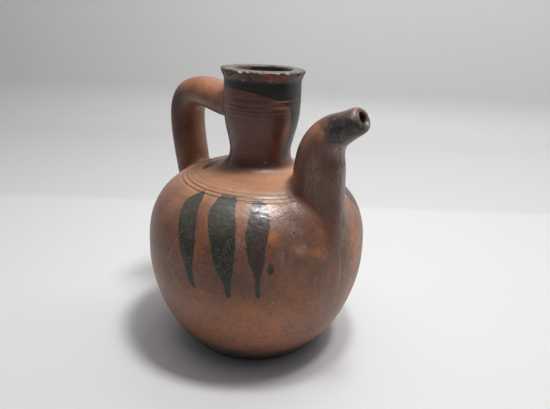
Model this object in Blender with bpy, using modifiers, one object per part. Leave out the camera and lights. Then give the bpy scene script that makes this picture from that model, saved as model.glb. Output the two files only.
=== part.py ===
"""A spouted clay jug: a thrown round body with a narrow neck, a bent spout and, opposite it, a loop handle.

Metres, +Z up. The origin is the centre of the underside, the spout points along +X and the handle along -X.
"""

import math

import bmesh
import bpy
import numpy as np
from mathutils import Vector
from mathutils.geometry import interpolate_bezier

# Body: a flattened ball below and a squarer shoulder above the widest point
BELLY_R = 0.0831
BELLY_Z = 0.0735
LOWER_REACH = 0.096
UPPER_REACH = 0.0676
LOWER_POWER = 1.8
UPPER_POWER = 3.0
UPPER_ROUND = 2.43
FOOT_R = 0.0490
FOOT_TURN = 0.009

# Neck, with a waist low down and a slight swelling above it
WAIST_R = 0.0226
WAIST_Z = 0.1525
SWELL_R = 0.0281
SWELL_Z = 0.185
NECK_TOP_R = 0.0277
NECK_FILLET = 0.013

# Rim, a wedge-shaped lip with a flat top
RIM_Z = 0.210
RIM_R = 0.0303
LIP_HEIGHT = 0.0072
LIP_ROUND = 0.0014
MOUTH_R = 0.0206
MOUTH_BEVEL = 0.0015
MOUTH_STRAIGHT = 0.012

# Two incised lines round the shoulder
GROOVE_ZS = (0.1299, 0.1314)
GROOVE_DEPTH = 0.0005
GROOVE_WIDTH = 0.0010

# Walls
BODY_WALL = 0.0065
BASE_WALL = 0.008
FLOOR_CORNER = 0.007
THROAT_R = 0.0170

# Spout: up the shoulder, round a bend, and out to a rounded tip
SPOUT_X = 0.0565
SPOUT_ROOT_X = 0.0630
SPOUT_ROOT_Z = 0.092
SPOUT_STRAIGHT_Z = 0.140
SPOUT_TAPER_Z = 0.136
SPOUT_CORNER_Z = 0.1702
SPOUT_BEND_R = 0.026
SPOUT_RISE = math.radians(30.5)
SPOUT_TIP_X = 0.0870
SPOUT_ROOT_R = 0.0184
SPOUT_TIP_R = 0.0088
SPOUT_TIP_ROUND = 0.0025
SPOUT_BORE_ROOT_R = 0.0125
SPOUT_BORE_TIP_R = 0.0040
SPOUT_BORE_LIFT = 0.0012

# Handle: an oval bar
HANDLE_WIDE = 0.0294
HANDLE_THICK = 0.0234
HANDLE_FOOT_X = -0.072
HANDLE_FOOT_Z = 0.088
HANDLE_OUT_X = -0.0866
HANDLE_OUT_Z = 0.163
HANDLE_TOP_X = -0.063
HANDLE_TOP_Z = 0.1855
HANDLE_NECK_Z = 0.1808
HANDLE_BURIED = 0.004
LEG_BEND = 0.025
TOP_BEND = 0.014

# How far the clay is smeared where the spout and handle join the body
FILLET = 0.009

# How far a cutter runs past the face that it opens
PAST = 0.010

TURN_STEPS = 54
SPOUT_SIDES = 24
HANDLE_SIDES = 20
BORE_SIDES = 14


def smooth(t):
    t = min(max(t, 0.0), 1.0)
    return t * t * (3 - 2 * t)


def body_radius(z):
    """Outside radius of the body without its foot or neck."""
    if z < BELLY_Z:
        return BELLY_R * math.sqrt(1 - ((BELLY_Z - z) / LOWER_REACH) ** LOWER_POWER)
    return BELLY_R * max(1 - ((z - BELLY_Z) / UPPER_REACH) ** UPPER_POWER, 0) ** (1 / UPPER_ROUND)


def body_height(radius):
    """Height on the shoulder where the body has this radius."""
    return BELLY_Z + UPPER_REACH * (1 - (radius / BELLY_R) ** UPPER_ROUND) ** (1 / UPPER_POWER)


def neck_radius(z):
    """Outside radius of the neck between the waist and the lip."""
    if z < SWELL_Z:
        t = (z - WAIST_Z) / (SWELL_Z - WAIST_Z)
        return WAIST_R + (SWELL_R - WAIST_R) * math.sin(t * math.pi / 2) ** 1.3
    t = (z - SWELL_Z) / (RIM_Z - LIP_HEIGHT - SWELL_Z)
    return SWELL_R + (NECK_TOP_R - SWELL_R) * smooth(t)


def bezier(points, count):
    """Points (x, z) along one cubic curve."""
    corners = [Vector((x, 0, z)) for x, z in points]
    return [(p.x, p.z) for p in interpolate_bezier(*corners, count)]


def outline():
    """The outside, as (radius, height) from the rim's top edge down to the foot."""
    lip_z = RIM_Z - LIP_ROUND
    points = [(RIM_R - LIP_ROUND, RIM_Z), (RIM_R - 0.3 * LIP_ROUND, RIM_Z - 0.3 * LIP_ROUND), (RIM_R, lip_z)]
    neck_zs = np.linspace(RIM_Z - LIP_HEIGHT, WAIST_Z, 9)
    points += [(neck_radius(z), z) for z in neck_zs]

    # The waist turns out onto the shoulder in one sweep
    foot_r = WAIST_R + NECK_FILLET
    foot_z = body_height(foot_r)
    slope = (body_height(foot_r + 0.001) - foot_z) / 0.001
    sweep = bezier(
        [
            (WAIST_R, WAIST_Z),
            (WAIST_R, foot_z + 0.2 * NECK_FILLET),
            (foot_r - 0.7 * NECK_FILLET, foot_z - slope * 0.7 * NECK_FILLET),
            (foot_r, foot_z),
        ],
        6,
    )
    points += sweep[1:]

    # Shoulder and belly, by even turns of the surface's direction
    shoulder_rs = foot_r + (BELLY_R - foot_r) * np.sin(np.linspace(0, math.pi / 2, 12)[1:-1])
    shoulder = [(r, body_height(r)) for r in shoulder_rs]
    for z in GROOVE_ZS:
        across = GROOVE_WIDTH / 2
        shoulder = [p for p in shoulder if abs(p[1] - z) > 1.2 * across]
        for step, depth in ((across, 0), (0, GROOVE_DEPTH), (-across, 0)):
            shoulder.append((body_radius(z + step) - 0.4 * depth, z + step - 0.9 * depth))
    points += sorted(shoulder, key=lambda p: -p[1])
    points += [(body_radius(z), z) for z in np.linspace(BELLY_Z, FOOT_TURN, 9)]

    # The belly turns under to the flat foot
    edge_r = body_radius(FOOT_TURN)
    lean = (body_radius(FOOT_TURN + 0.001) - edge_r) / 0.001
    knee = (edge_r - lean * 0.9 * FOOT_TURN, 0.1 * FOOT_TURN)
    points += bezier([(edge_r, FOOT_TURN), knee, knee, (FOOT_R, 0)], 6)[1:]
    return points


def inside():
    """The cavity, as (radius, height) from above the mouth down to the floor of the jug."""
    mouth_r = MOUTH_R + 0.7 * MOUTH_BEVEL
    points = [(mouth_r, RIM_Z + PAST), (mouth_r, RIM_Z), (MOUTH_R, RIM_Z - MOUTH_BEVEL)]
    points += [
        (THROAT_R + (MOUTH_R - THROAT_R) * smooth((z - WAIST_Z) / (RIM_Z - WAIST_Z)), z)
        for z in np.linspace(RIM_Z - MOUTH_STRAIGHT, WAIST_Z, 4)
    ]
    points.append((THROAT_R, body_height(THROAT_R) - 0.3 * BODY_WALL))
    first_r = THROAT_R + 1.1 * BODY_WALL
    shoulder_rs = first_r + (BELLY_R - first_r) * np.sin(np.linspace(0, 0.46, 9) * math.pi)
    skin = [(r, body_height(r)) for r in shoulder_rs]
    skin += [(body_radius(z), z) for z in np.linspace(BELLY_Z, FOOT_TURN, 7)]
    for before, here, after in zip(skin, skin[1:], skin[2:]):
        down = Vector((after[0] - before[0], after[1] - before[1])).normalized()
        points.append((here[0] + down.y * BODY_WALL, here[1] - down.x * BODY_WALL))
    points = [p for p in points if p[1] > BASE_WALL + 0.4 * FLOOR_CORNER]
    points.append((points[-1][0] - FLOOR_CORNER, BASE_WALL))
    return points


def turned(name, profile, collection):
    """A solid of revolution about Z, whose ends close on the axis."""
    bm = bmesh.new()
    ends = [(0, profile[0][1])] + list(profile) + [(0, profile[-1][1])]
    verts = [bm.verts.new((radius, 0, z)) for radius, z in ends]
    for above, below in zip(verts, verts[1:]):
        bm.edges.new((above, below))
    mesh = bpy.data.meshes.new(name)
    bm.to_mesh(mesh)
    bm.free()
    obj = bpy.data.objects.new(name, mesh)
    collection.objects.link(obj)
    screw = obj.modifiers.new("Turn", "SCREW")
    screw.axis = "Z"
    screw.angle = 2 * math.pi
    screw.steps = screw.render_steps = TURN_STEPS
    screw.use_merge_vertices = True
    screw.merge_threshold = 0.00001
    screw.use_smooth_shade = True
    return obj


def body_gap(point, skin):
    """How far a point is outside the turned skin of (radius, height), and the skin's direction out there."""
    here = np.array([math.hypot(point.x, point.y), point.z])
    start, along = skin[:-1], np.diff(skin, axis=0)
    t = np.clip(((here - start) * along).sum(axis=1) / (along**2).sum(axis=1), 0, 1)
    feet = start + along * t[:, None]
    away = here - feet
    nearest = int(np.argmin((away**2).sum(axis=1)))
    step = along[nearest] / np.linalg.norm(along[nearest])
    out = np.array([-step[1], step[0]])
    gap = float(np.linalg.norm(away[nearest])) * (1 if away[nearest] @ out > 0 else -1)
    radial = Vector((point.x, point.y, 0)).normalized()
    return gap, radial * out[0] + Vector((0, 0, out[1]))


def swept(name, path, sizes, sides, collection, fillet=0.0):
    """A closed bar along a path of (x, z), with a half width and half thickness at each point.

    With a fillet, the bar spreads where it comes near the turned body.
    """
    bm = bmesh.new()
    loops = []
    skin = np.array(outline() + [(0, 0)])
    for i, ((x, z), (half_wide, half_thick)) in enumerate(zip(path, sizes)):
        before, after = path[max(i - 1, 0)], path[min(i + 1, len(path) - 1)]
        along = Vector((after[0] - before[0], 0, after[1] - before[1])).normalized()
        across = Vector((0, 1, 0))
        up = along.cross(across)
        ring = []
        for turn in np.linspace(0, 2 * math.pi, sides, endpoint=False):
            reach = across * (half_wide * math.cos(turn)) + up * (half_thick * math.sin(turn))
            point = Vector((x, 0, z)) + reach
            if fillet:
                gap, out = body_gap(point, skin)
                near = min(max(fillet - gap, 0), fillet)
                spread = 0.6 * near**2 / fillet
                facing = max(reach.normalized().dot(out), 0)
                point += reach.normalized() * (spread * (1 - facing))
            ring.append(bm.verts.new(point))
        loops.append([bm.edges.new((ring[j - 1], ring[j])) for j in range(sides)])
    for first, second in zip(loops, loops[1:]):
        bmesh.ops.bridge_loops(bm, edges=first + second)
    for end in (loops[0], loops[-1]):
        bmesh.ops.contextual_create(bm, geom=end)
    bmesh.ops.recalc_face_normals(bm, faces=bm.faces)
    for face in bm.faces:
        face.smooth = len(face.verts) == 4
    mesh = bpy.data.meshes.new(name)
    bm.to_mesh(mesh)
    bm.free()
    obj = bpy.data.objects.new(name, mesh)
    collection.objects.link(obj)
    return obj


def spout_path():
    """The spout's centre line: straight up, an arc, then straight to the tip."""
    turn = math.pi / 2 - SPOUT_RISE
    reach = SPOUT_BEND_R * math.tan(turn / 2)
    bend_z = SPOUT_CORNER_Z - reach
    path = []
    for z in np.linspace(SPOUT_ROOT_Z, bend_z, 14):
        lean = smooth((SPOUT_STRAIGHT_Z - z) / (SPOUT_STRAIGHT_Z - SPOUT_ROOT_Z))
        path.append((SPOUT_X + (SPOUT_ROOT_X - SPOUT_X) * lean, z))
    for angle in np.linspace(0, turn, 7)[1:]:
        out, up = 1 - math.cos(angle), math.sin(angle)
        path.append((SPOUT_X + SPOUT_BEND_R * out, bend_z + SPOUT_BEND_R * up))
    x, z = path[-1]
    straight = SPOUT_TIP_X - x
    rounded = straight - SPOUT_TIP_ROUND
    for ahead in (0.5 * rounded, rounded, straight - 0.4 * SPOUT_TIP_ROUND, straight):
        path.append((x + ahead, z + ahead * math.tan(SPOUT_RISE)))
    return path


def lengths_along(path):
    steps = [math.dist(a, b) for a, b in zip(path, path[1:])]
    return np.concatenate([[0], np.cumsum(steps)])


def join(target, tool, operation):
    boolean = target.modifiers.new(f"{operation.title()} {tool.name}", "BOOLEAN")
    boolean.operation = operation
    boolean.object = tool
    boolean.solver = "EXACT"
    tool.hide_render = True
    tool.display_type = "WIRE"


for old in list(bpy.data.objects):
    bpy.data.objects.remove(old)
model = bpy.data.collections.new("Clay jug")
tools = bpy.data.collections.new("Clay jug tools")
bpy.context.scene.collection.children.link(model)
bpy.context.scene.collection.children.link(tools)

clay = bpy.data.materials.new("Fired clay")
clay.use_nodes = True
shader = clay.node_tree.nodes["Principled BSDF"]
shader.inputs["Base Color"].default_value = (0.24, 0.085, 0.045, 1)
shader.inputs["Roughness"].default_value = 0.45
shader.inputs["Metallic"].default_value = 0.0

# Thrown body, neck and rim
jug = turned("jug", outline(), model)
jug.data.materials.append(clay)

# Spout, tapering from above its root to the tip, whose end is rounded over
path = spout_path()
run = lengths_along(path)
taper_length = math.dist(path[-1], (SPOUT_X, SPOUT_CORNER_Z)) + SPOUT_CORNER_Z - SPOUT_TAPER_Z
spout_rs = []
for s in run:
    share = smooth(max(1 - (run[-1] - s) / taper_length, 0) ** 1.25)
    spout_rs.append(SPOUT_ROOT_R + (SPOUT_TIP_R - SPOUT_ROOT_R) * share)
spout_rs[-2] -= 0.25 * SPOUT_TIP_ROUND
spout_rs[-1] -= SPOUT_TIP_ROUND
spout = swept("spout", path, [(r, r) for r in spout_rs], SPOUT_SIDES, tools, FILLET)
join(jug, spout, "UNION")

# Handle, from inside the shoulder up its leg, round the elbow and along into the neck
foot = (HANDLE_FOOT_X, HANDLE_FOOT_Z)
out = (HANDLE_OUT_X, HANDLE_OUT_Z)
top = (HANDLE_TOP_X, HANDLE_TOP_Z)
into_neck = (-WAIST_R + HANDLE_BURIED, HANDLE_NECK_Z)
elbow_z = HANDLE_OUT_Z + 0.64 * (HANDLE_TOP_Z - HANDLE_OUT_Z)
elbow_x = HANDLE_OUT_X + 0.33 * (HANDLE_TOP_X - HANDLE_OUT_X)
leg = bezier([foot, (foot[0], foot[1] + LEG_BEND), (out[0], out[1] - LEG_BEND), out], 12)
elbow = bezier([out, (out[0], elbow_z), (elbow_x, top[1]), top], 9)
bar = bezier([top, (top[0] + TOP_BEND, top[1]), (-NECK_TOP_R - TOP_BEND, into_neck[1]), into_neck], 9)
loop = leg + elbow[1:] + bar[1:]
handle_size = (HANDLE_WIDE / 2, HANDLE_THICK / 2)
handle = swept("handle", loop, [handle_size] * len(loop), HANDLE_SIDES, tools, FILLET)
join(jug, handle, "UNION")

# The hollow, and the bore that carries it on up the spout and out of the tip
hollow = turned("hollow", inside(), tools)
join(jug, hollow, "DIFFERENCE")
tip_x, tip_z = path[-1]
beyond = (tip_x + PAST * math.cos(SPOUT_RISE), tip_z + PAST * math.sin(SPOUT_RISE))
bore_path = []
bore_rs = []
for (x, z), s in list(zip(path, run))[3:] + [(beyond, run[-1])]:
    share = smooth((s - run[3]) / (run[-1] - run[3]))
    bore_path.append((x, z + SPOUT_BORE_LIFT * share))
    bore_rs.append(SPOUT_BORE_ROOT_R + (SPOUT_BORE_TIP_R - SPOUT_BORE_ROOT_R) * share)
bore = swept("spout_bore", bore_path, [(r, r) for r in bore_rs], BORE_SIDES, tools)
join(jug, bore, "DIFFERENCE")
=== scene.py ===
"""A clay jug with a bent pouring spout, a loop handle and dark glaze runs, standing on a pale table."""

import math

import bmesh
import bpy
import numpy as np
from mathutils import Matrix, Vector, noise
from mathutils.bvhtree import BVHTree


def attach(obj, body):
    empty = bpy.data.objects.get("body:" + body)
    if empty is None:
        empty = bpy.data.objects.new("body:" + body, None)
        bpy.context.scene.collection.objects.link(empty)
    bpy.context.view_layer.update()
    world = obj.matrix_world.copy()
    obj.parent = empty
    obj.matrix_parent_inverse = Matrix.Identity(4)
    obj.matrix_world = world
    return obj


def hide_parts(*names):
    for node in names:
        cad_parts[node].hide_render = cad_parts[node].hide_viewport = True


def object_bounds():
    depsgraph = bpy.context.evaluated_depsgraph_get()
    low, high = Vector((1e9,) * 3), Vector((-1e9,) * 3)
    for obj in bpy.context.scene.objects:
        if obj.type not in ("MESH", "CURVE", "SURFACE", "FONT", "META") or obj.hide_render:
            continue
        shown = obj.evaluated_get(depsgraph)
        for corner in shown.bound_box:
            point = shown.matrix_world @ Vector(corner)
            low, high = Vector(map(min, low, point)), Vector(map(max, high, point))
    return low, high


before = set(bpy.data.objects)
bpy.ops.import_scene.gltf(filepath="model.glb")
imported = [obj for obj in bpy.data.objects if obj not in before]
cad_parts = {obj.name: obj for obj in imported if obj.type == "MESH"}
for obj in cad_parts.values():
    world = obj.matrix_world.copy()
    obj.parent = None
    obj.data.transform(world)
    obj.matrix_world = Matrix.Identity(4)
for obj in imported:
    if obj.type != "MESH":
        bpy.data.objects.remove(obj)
cad_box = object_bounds()

# The thrown body, with its neck and rim, comes off the wheel as one round form of red clay.
# It is spun here as a full solid: a flattened ball, a squarer shoulder, a waisted neck and a wedged lip.
# The hollow is cut out of it once the spout and the handle are on.
BELLY_R = 0.0830
BELLY_Z = 0.0735
LOWER_REACH = 0.096
LOWER_POWER = 1.8
UPPER_REACH = 0.0676
UPPER_POWER = 3.0
UPPER_ROUND = 2.43
FOOT_R = 0.0490
FOOT_TURN = 0.009
FOOT_KNEE = (0.9, 0.1)
WAIST_R = 0.0226
WAIST_Z = 0.1525
SWELL_R = 0.0281
SWELL_Z = 0.185
SWELL_POWER = 1.3
NECK_TOP_R = 0.0277
NECK_FILLET = 0.013
FILLET_PULL = 0.2
FILLET_PUSH = 0.7
RIM_Z = 0.210
RIM_R = 0.0302
LIP_HEIGHT = 0.0072
LIP_ROUND = 0.0014
LIP_CORNER = 0.3
MOUTH_R = 0.0206
SLOPE_STEP = 0.001
WHEEL_STEPS = 160
HOLLOW_STEPS = 96
MERGE = 1e-6


def ease(t):
    """From 0 to 1, slow at both ends, for numbers and for arrays."""
    t = np.clip(t, 0.0, 1.0)
    return t * t * (3 - 2 * t)


def body_radius(z):
    """Outside radius of the ball and its shoulder at a height."""
    if z < BELLY_Z:
        return BELLY_R * math.sqrt(1 - ((BELLY_Z - z) / LOWER_REACH) ** LOWER_POWER)
    return BELLY_R * max(1 - ((z - BELLY_Z) / UPPER_REACH) ** UPPER_POWER, 0) ** (1 / UPPER_ROUND)


def shoulder_height(radius):
    """Height on the shoulder where the body has this radius."""
    return BELLY_Z + UPPER_REACH * (1 - (radius / BELLY_R) ** UPPER_ROUND) ** (1 / UPPER_POWER)


def neck_radius(z):
    """Outside radius of the neck, from the waist to the lip."""
    if z < SWELL_Z:
        risen = math.sin((z - WAIST_Z) / (SWELL_Z - WAIST_Z) * math.pi / 2)
        return WAIST_R + (SWELL_R - WAIST_R) * risen**SWELL_POWER
    closing = float(ease((z - SWELL_Z) / (RIM_Z - LIP_HEIGHT - SWELL_Z)))
    return SWELL_R + (NECK_TOP_R - SWELL_R) * closing


def curve(start, pull, push, end, count):
    """Points on one cubic curve, without its start."""
    t = np.linspace(0, 1, count)[1:, None]
    a, b, c, d = (np.array(p) for p in (start, pull, push, end))
    return (a * (1 - t) ** 3 + 3 * b * t * (1 - t) ** 2 + 3 * c * t**2 * (1 - t) + d * t**3).tolist()


def body_outline():
    """Radius and height of the outside, from the rim's top edge down to the foot."""
    corner = LIP_CORNER * LIP_ROUND
    line = [(RIM_R - LIP_ROUND, RIM_Z), (RIM_R - corner, RIM_Z - corner), (RIM_R, RIM_Z - LIP_ROUND)]
    line += [(neck_radius(z), z) for z in np.linspace(RIM_Z - LIP_HEIGHT, WAIST_Z, 24)]
    sweep_r = WAIST_R + NECK_FILLET
    sweep_z = shoulder_height(sweep_r)
    slope = (shoulder_height(sweep_r + SLOPE_STEP) - sweep_z) / SLOPE_STEP
    pull = (WAIST_R, sweep_z + FILLET_PULL * NECK_FILLET)
    push = (sweep_r - FILLET_PUSH * NECK_FILLET, sweep_z - slope * FILLET_PUSH * NECK_FILLET)
    line += curve((WAIST_R, WAIST_Z), pull, push, (sweep_r, sweep_z), 12)
    turns = np.sin(np.linspace(0, math.pi / 2, 40)[1:-1])
    line += [(r, shoulder_height(r)) for r in sweep_r + (BELLY_R - sweep_r) * turns]
    line += [(body_radius(z), z) for z in np.linspace(BELLY_Z, FOOT_TURN, 30)]
    edge_r = body_radius(FOOT_TURN)
    lean = (body_radius(FOOT_TURN + SLOPE_STEP) - edge_r) / SLOPE_STEP
    knee = (edge_r - lean * FOOT_KNEE[0] * FOOT_TURN, FOOT_KNEE[1] * FOOT_TURN)
    return line + curve((edge_r, FOOT_TURN), knee, knee, (FOOT_R, 0), 8)


def placed(name, bm):
    """An object made of a finished bmesh, linked to the scene."""
    mesh = bpy.data.meshes.new(name)
    bm.to_mesh(mesh)
    bm.free()
    made = bpy.data.objects.new(name, mesh)
    bpy.context.scene.collection.objects.link(made)
    return made


def spun(name, line, steps):
    """A solid turned about the upright axis from a line of radius and height, top to bottom."""
    bm = bmesh.new()
    ends = [(0, line[0][1])] + list(line) + [(0, line[-1][1])]
    verts = [bm.verts.new((radius, 0, z)) for radius, z in ends]
    edges = [bm.edges.new(pair) for pair in zip(verts, verts[1:])]
    bmesh.ops.spin(
        bm,
        geom=verts + edges,
        axis=(0, 0, 1),
        cent=(0, 0, 0),
        angle=2 * math.pi,
        steps=steps,
        use_merge=True,
    )
    bmesh.ops.remove_doubles(bm, verts=bm.verts, dist=MERGE)
    bmesh.ops.recalc_face_normals(bm, faces=bm.faces)
    return placed(name, bm)


thrown = spun("thrown_body", body_outline(), WHEEL_STEPS)

# The spout is a tapering clay tube set into the shoulder.
# It stands straight up, bends outwards and ends in a worn, rounded tip.
# A ring of clay is drawn along its centre line.
SPOUT_X = 0.0565
SPOUT_ROOT_X = 0.0630
SPOUT_ROOT_Z = 0.092
SPOUT_STRAIGHT_Z = 0.140
SPOUT_CORNER_Z = 0.1702
SPOUT_BEND_R = 0.026
SPOUT_RISE = math.radians(30.5)
SPOUT_TIP_X = 0.0870
SPOUT_ROOT_R = 0.0184
SPOUT_TIP_R = 0.0088
SPOUT_TAPER_Z = 0.136
SPOUT_TAPER_POWER = 1.25
TIP_STEPS = (0.2, 0.4, 0.6, 0.78, 0.9, 0.96, 1.0)
TIP_ROUNDING = (0.97, 0.90, 0.72)
SPOUT_SIDES = 40


def drawn(name, path, sizes, sides, squareness=1.0):
    """A closed bar drawn along a path of x and z, with a half width and a half thickness at each point."""
    places = []
    for i, ((x, z), (half_wide, half_thick)) in enumerate(zip(path, sizes)):
        before, after = path[max(i - 1, 0)], path[min(i + 1, len(path) - 1)]
        tilt = math.atan2(after[0] - before[0], after[1] - before[1])
        size = Matrix.Diagonal((half_thick, half_wide, 1, 1))
        places.append(Matrix.Translation((x, 0, z)) @ Matrix.Rotation(tilt, 4, "Y") @ size)
    bm = bmesh.new()
    ring = bmesh.ops.create_circle(bm, cap_ends=True, radius=1, segments=sides)["verts"]
    for vert in ring:
        vert.co.x = math.copysign(abs(vert.co.x) ** squareness, vert.co.x)
        vert.co.y = math.copysign(abs(vert.co.y) ** squareness, vert.co.y)
    bmesh.ops.transform(bm, matrix=places[0], verts=ring)
    edges = list(bm.edges)
    for here, there in zip(places, places[1:]):
        moved = bmesh.ops.extrude_edge_only(bm, edges=edges)["geom"]
        edges = [part for part in moved if isinstance(part, bmesh.types.BMEdge)]
        verts = [part for part in moved if isinstance(part, bmesh.types.BMVert)]
        bmesh.ops.transform(bm, matrix=there @ here.inverted(), verts=verts)
    bmesh.ops.contextual_create(bm, geom=edges)
    bmesh.ops.recalc_face_normals(bm, faces=bm.faces)
    return placed(name, bm)


def spout_path():
    """Centre line of the spout: up out of the shoulder, an arc, then straight out to the tip."""
    turn = math.pi / 2 - SPOUT_RISE
    bend_z = SPOUT_CORNER_Z - SPOUT_BEND_R * math.tan(turn / 2)
    path = []
    for z in np.linspace(SPOUT_ROOT_Z, bend_z, 24):
        lean = float(ease((SPOUT_STRAIGHT_Z - z) / (SPOUT_STRAIGHT_Z - SPOUT_ROOT_Z)))
        path.append((SPOUT_X + (SPOUT_ROOT_X - SPOUT_X) * lean, z))
    for angle in np.linspace(0, turn, 14)[1:]:
        outwards = SPOUT_BEND_R * (1 - math.cos(angle))
        path.append((SPOUT_X + outwards, bend_z + SPOUT_BEND_R * math.sin(angle)))
    x, z = path[-1]
    for step in TIP_STEPS:
        ahead = (SPOUT_TIP_X - x) * step
        path.append((x + ahead, z + ahead * math.tan(SPOUT_RISE)))
    return path


def run_along(path):
    """Distance along a path at each of its points."""
    return np.concatenate([[0], np.cumsum([math.dist(a, b) for a, b in zip(path, path[1:])])])


spout_line = spout_path()
spout_run = run_along(spout_line)
past_corner = math.dist(spout_line[-1], (SPOUT_X, SPOUT_CORNER_Z))
tapering = spout_run - spout_run[-1] + past_corner + SPOUT_CORNER_Z - SPOUT_TAPER_Z
tapered = ease(np.clip(tapering / tapering[-1], 0, 1) ** SPOUT_TAPER_POWER)
spout_rs = SPOUT_ROOT_R + (SPOUT_TIP_R - SPOUT_ROOT_R) * tapered
spout_rs[-len(TIP_ROUNDING) :] *= TIP_ROUNDING
spout = drawn("spout_tube", spout_line, [(r, r) for r in spout_rs], SPOUT_SIDES)

# The handle is a pulled oval bar, thick enough for two or three fingers to hold.
# It grows out of the shoulder opposite the spout, bends over and runs level into the neck.
HANDLE_WIDE = 0.0292
HANDLE_THICK = 0.0232
HANDLE_SQUARENESS = 0.85
HANDLE_FOOT = (-0.072, 0.088)
HANDLE_OUT = (-0.0865, 0.163)
HANDLE_TOP = (-0.063, 0.1855)
HANDLE_NECK = (-0.0186, 0.1808)
LEG_LEAN = 0.0015
LEG_RISE = 0.024
LEG_BEND = 0.025
CORNER_UP = 0.64
CORNER_ACROSS = 0.33
TOP_BEND = 0.014
NECK_BEND_X = -0.0397
HANDLE_SIDES = 36

foot_x, foot_z = HANDLE_FOOT
out_x, out_z = HANDLE_OUT
top_x, top_z = HANDLE_TOP
handle_line = [HANDLE_FOOT]
handle_line += curve(
    HANDLE_FOOT, (foot_x - LEG_LEAN, foot_z + LEG_RISE), (out_x, out_z - LEG_BEND), HANDLE_OUT, 22
)
elbow_side = (out_x, out_z + CORNER_UP * (top_z - out_z))
elbow_top = (out_x + CORNER_ACROSS * (top_x - out_x), top_z)
handle_line += curve(HANDLE_OUT, elbow_side, elbow_top, HANDLE_TOP, 16)
handle_line += curve(HANDLE_TOP, (top_x + TOP_BEND, top_z), (NECK_BEND_X, HANDLE_NECK[1]), HANDLE_NECK, 14)
handle_size = (HANDLE_WIDE / 2, HANDLE_THICK / 2)
handle = drawn("handle_bar", handle_line, [handle_size] * len(handle_line), HANDLE_SIDES, HANDLE_SQUARENESS)

# Spout and handle are luted on with wet clay, and the joins are smeared over until no seam is left.
# The three forms are fused into one skin here, and the clay next to each join is smoothed the same way.
# Each smear takes in the clay nearer to the join than its reach, for a number of strokes.
SKIN_STEP = 0.0017
SMEARS = ((0.004, 24), (0.007, 20), (0.010, 12))


def tree_of(obj):
    """The faces of an object, for finding how near they are."""
    corners = [vert.co for vert in obj.data.vertices]
    return BVHTree.FromPolygons(corners, [tuple(face.vertices) for face in obj.data.polygons])


def made_real(obj):
    """Gives the object the mesh that its modifiers make, and clears them."""
    graph = bpy.context.evaluated_depsgraph_get()
    mesh = bpy.data.meshes.new_from_object(obj.evaluated_get(graph), depsgraph=graph)
    obj.modifiers.clear()
    obj.data = mesh


def gap_to(tree, point):
    """How far a point is from the nearest face of a form."""
    return tree.find_nearest(point)[3]


body_tree, spout_tree, handle_tree = tree_of(thrown), tree_of(spout), tree_of(handle)
bm = bmesh.new()
for form in (thrown, spout, handle):
    bm.from_mesh(form.data)
    bpy.data.objects.remove(form)
jug = placed("clay_jug", bm)
fuse = jug.modifiers.new("Fuse", "REMESH")
fuse.mode = "VOXEL"
fuse.voxel_size = SKIN_STEP
made_real(jug)

bm = bmesh.new()
bm.from_mesh(jug.data)
gap_to_join = {}
for vert in bm.verts:
    gap_to_added = min(gap_to(spout_tree, vert.co), gap_to(handle_tree, vert.co))
    gap_to_join[vert] = max(gap_to(body_tree, vert.co), gap_to_added)
for reach, strokes in SMEARS:
    smeared = [vert for vert in bm.verts if gap_to_join[vert] < reach]
    for _ in range(strokes):
        bmesh.ops.smooth_vert(
            bm, verts=smeared, factor=0.5, use_axis_x=True, use_axis_y=True, use_axis_z=True
        )

# Lines were cut into the turning clay with a point, and the fingers left fine ridges.
# Years of use chipped the lip and wore the spout's tip.
# A line is its height and its depth. The skin is made finer at the lines, the rim and the tip.
SHOULDER_LINES = ((0.1331, 0.00018), (0.1316, 0.00042), (0.1300, 0.00038))
SHOULDER_R = 0.047
NECK_LINES = ((0.1905, 0.00026), (0.1862, 0.00022), (0.1835, 0.00034), (0.1808, 0.00030), (0.1780, 0.00020))
NECK_LINES_LOW = 0.1765
NECK_LINES_HIGH = 0.192
NECK_LINES_R = 0.0295
NECK_FROM = 0.15
LINE_WIDTH = 0.00055
FINER_REACHES = (0.0016, 0.0007)
FINER_RIM_Z = 0.1995
FINER_TIP = (0.079, 0.17)
UNEVEN = ((26, 0.00022), (90, 0.00008))
JOIN_LUMPS = (110, 0.0005)
JOIN_REACH = 0.014
RIDGE_HEIGHT = 0.000012
RIDGES_PER_METRE = 1300
RIDGE_WAVER = (20, 3)
BODY_GAP = 0.0012
TRUE_GAP = 0.002
TRUE_FROM_JOIN = 0.011
CHIP_DEPTH = 0.0013
CHIP_NOISE = (260, 620)
CHIP_START = 0.12
CHIP_SPREAD = 0.35
CHIPPED_Z = (0.2025, 0.005)
CHIPPED_R = (0.0265, 0.003)
TIP_WEAR = 0.0012
TIP_WORN = 0.009
TIP_NOISE = 190
TIP_START = 0.40
TIP_SPREAD = 0.7
TOP_FROM = 0.207
TOP_CHIP = 0.0005
TOP_WAVE = (60, 0.00025)


def finer(bm, inside):
    """Halves the edges of the skin wherever both ends are inside."""
    chosen = {vert for vert in bm.verts if inside(vert.co)}
    edges = [edge for edge in bm.edges if edge.verts[0] in chosen and edge.verts[1] in chosen]
    bmesh.ops.subdivide_edges(bm, edges=edges, cuts=1, use_grid_fill=True)


def off_axis(point):
    """How far a point is from the upright axis."""
    return math.hypot(point.x, point.y)


def near_line(point, reach):
    """Whether a point of the skin lies close to one of the lines on the shoulder."""
    return any(abs(point.z - z) < reach for z, _ in SHOULDER_LINES) and off_axis(point) > SHOULDER_R


def at_rim_or_tip(point):
    """Whether a point of the skin is on the lip or on the end of the spout."""
    return point.z > FINER_RIM_Z or (point.x > FINER_TIP[0] and point.z > FINER_TIP[1])


def cut_depth(z, lines):
    """How deep a set of cut lines goes at a height."""
    return sum(depth * math.exp(-(((z - level) / LINE_WIDTH) ** 2)) for level, depth in lines)


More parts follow.
